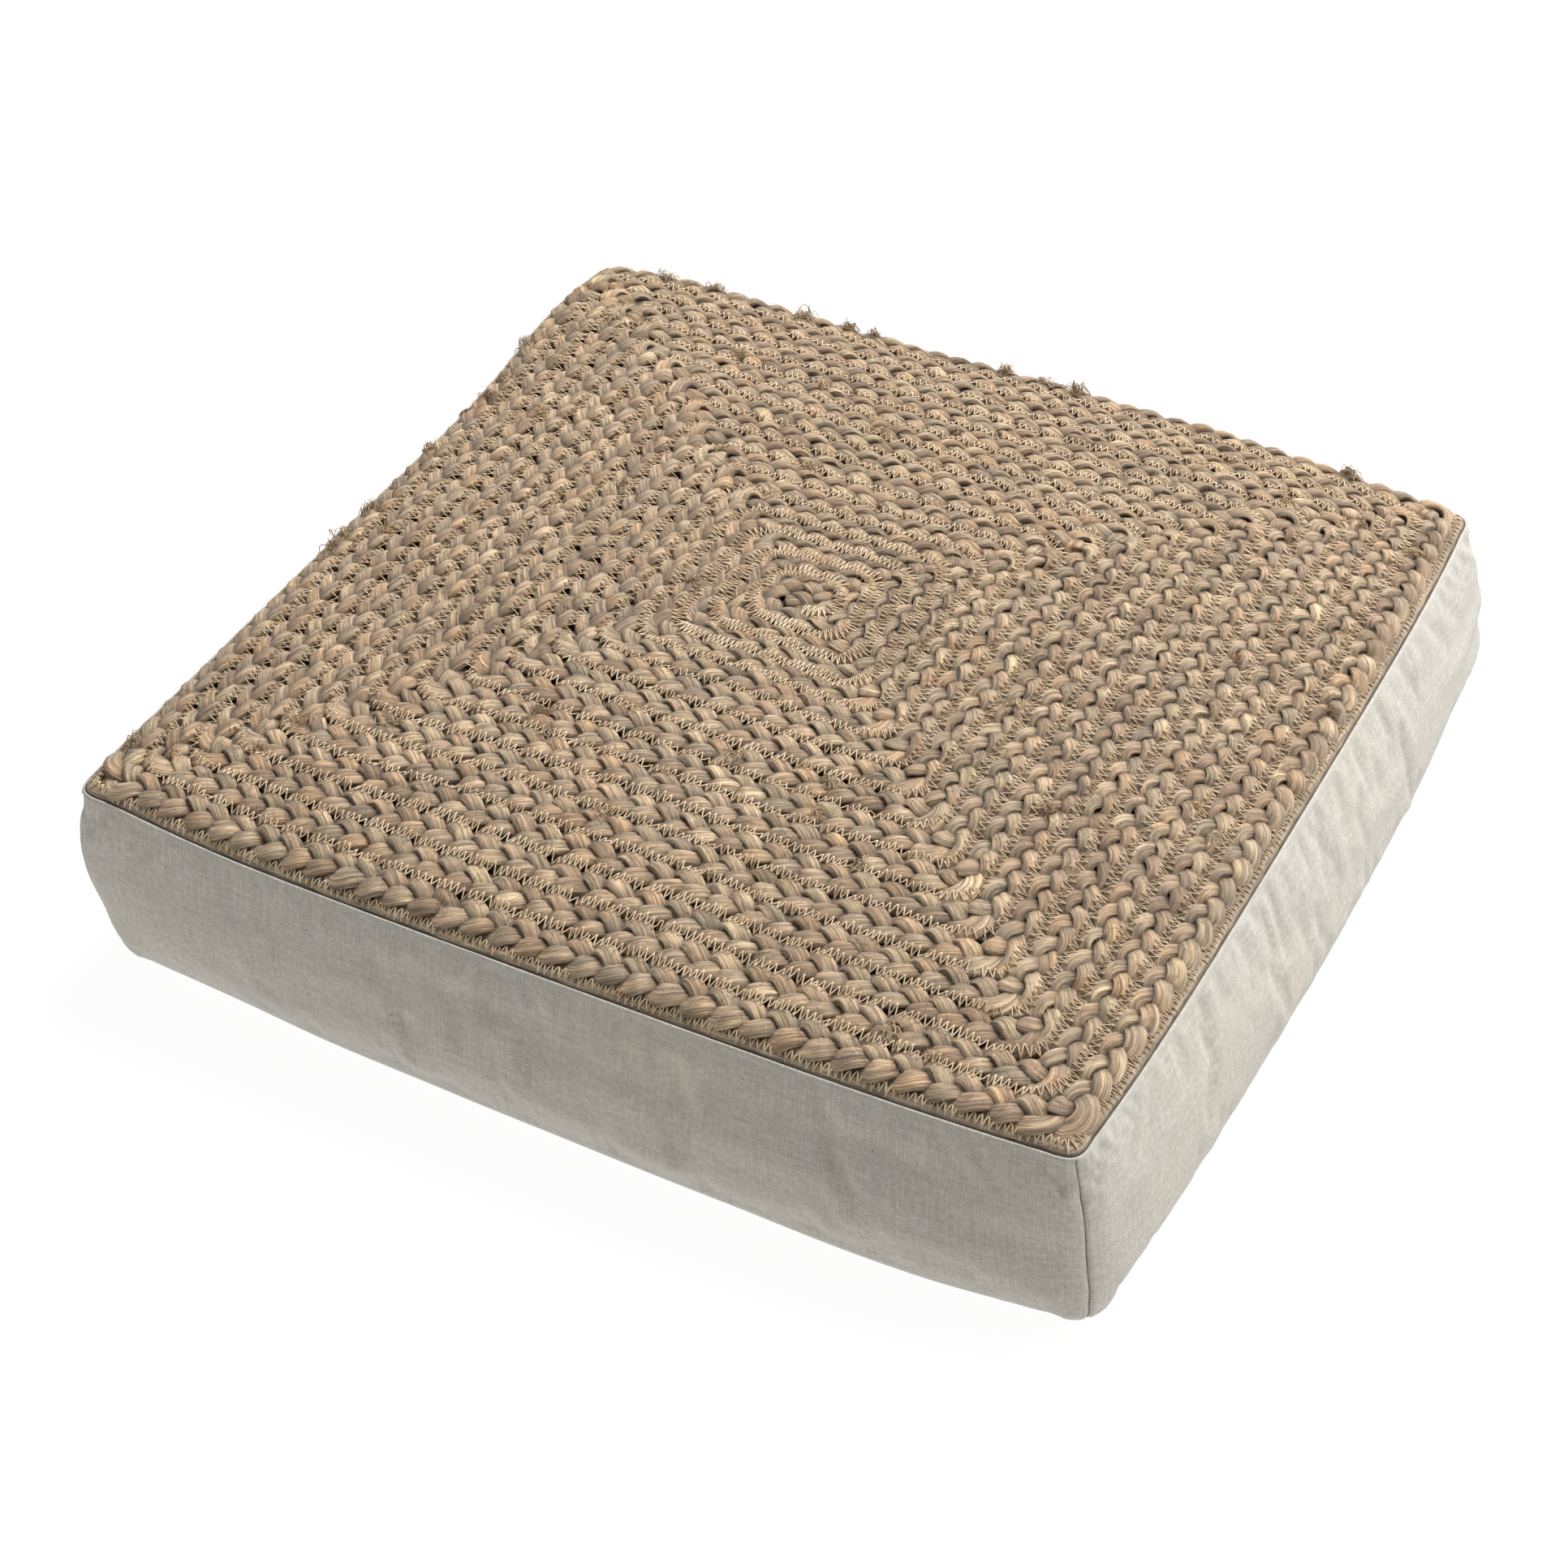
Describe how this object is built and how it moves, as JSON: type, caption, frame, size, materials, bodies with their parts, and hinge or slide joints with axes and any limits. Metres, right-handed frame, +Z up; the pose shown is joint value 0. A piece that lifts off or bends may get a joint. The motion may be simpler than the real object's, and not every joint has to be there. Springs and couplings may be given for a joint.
{
  "type": "floor cushion",
  "caption": "Square box floor cushion with a coiled jute braid top, plain canvas sides, a zipped back band and a separate fibre pad.",
  "frame": {"origin": "on the floor under the middle of the cushion's square body", "axes": "+Z up, out of the braided top; -Y the front side; +Y the back side that holds the zip; +X right"},
  "size_m": [0.6, 0.606, 0.1247],
  "materials": {
    "jute": "matte",
    "thread": "matte",
    "lining": "matte",
    "canvas": "matte",
    "tape": "matte",
    "nylon": "satin",
    "metal": "satin",
    "case": "matte",
    "fibre": "matte"
  },
  "bodies": {
    "cushion": {"jute_braid": "jute", "round_stitching": "thread", "top_lining": "lining", "front_panel": "canvas", "right_panel": "canvas", "left_panel": "canvas", "back_strip_lower": "canvas", "back_strip_upper": "canvas", "back_tab_left": "canvas", "back_tab_right": "canvas", "bottom_panel": "canvas", "zip_tape_lower": "tape", "zip_tape_upper": "tape", "zip_coil_lower": "nylon", "zip_coil_upper": "nylon", "zip_stop_closed_lower": "metal", "zip_stop_closed_upper": "metal", "zip_stop_open": "metal", "case_upper": "case", "case_lower": "case", "fibre_fill": "fibre"},
    "slider": {"zip_slider": "metal"},
    "pull": {"zip_pull": "metal"}
  },
  "joints": [
    {"name": "zip_slide", "type": "slide", "parent": "cushion", "child": "slider", "axis": [-1, 0, 0], "range_m": [0, 0.4374]},
    {"name": "pull_hinge", "type": "hinge", "parent": "slider", "child": "pull", "pos_m": [0.2187, 0.3034, 0.056], "axis": [0, 0, -1], "range_deg": [0, 160]}
  ]
}
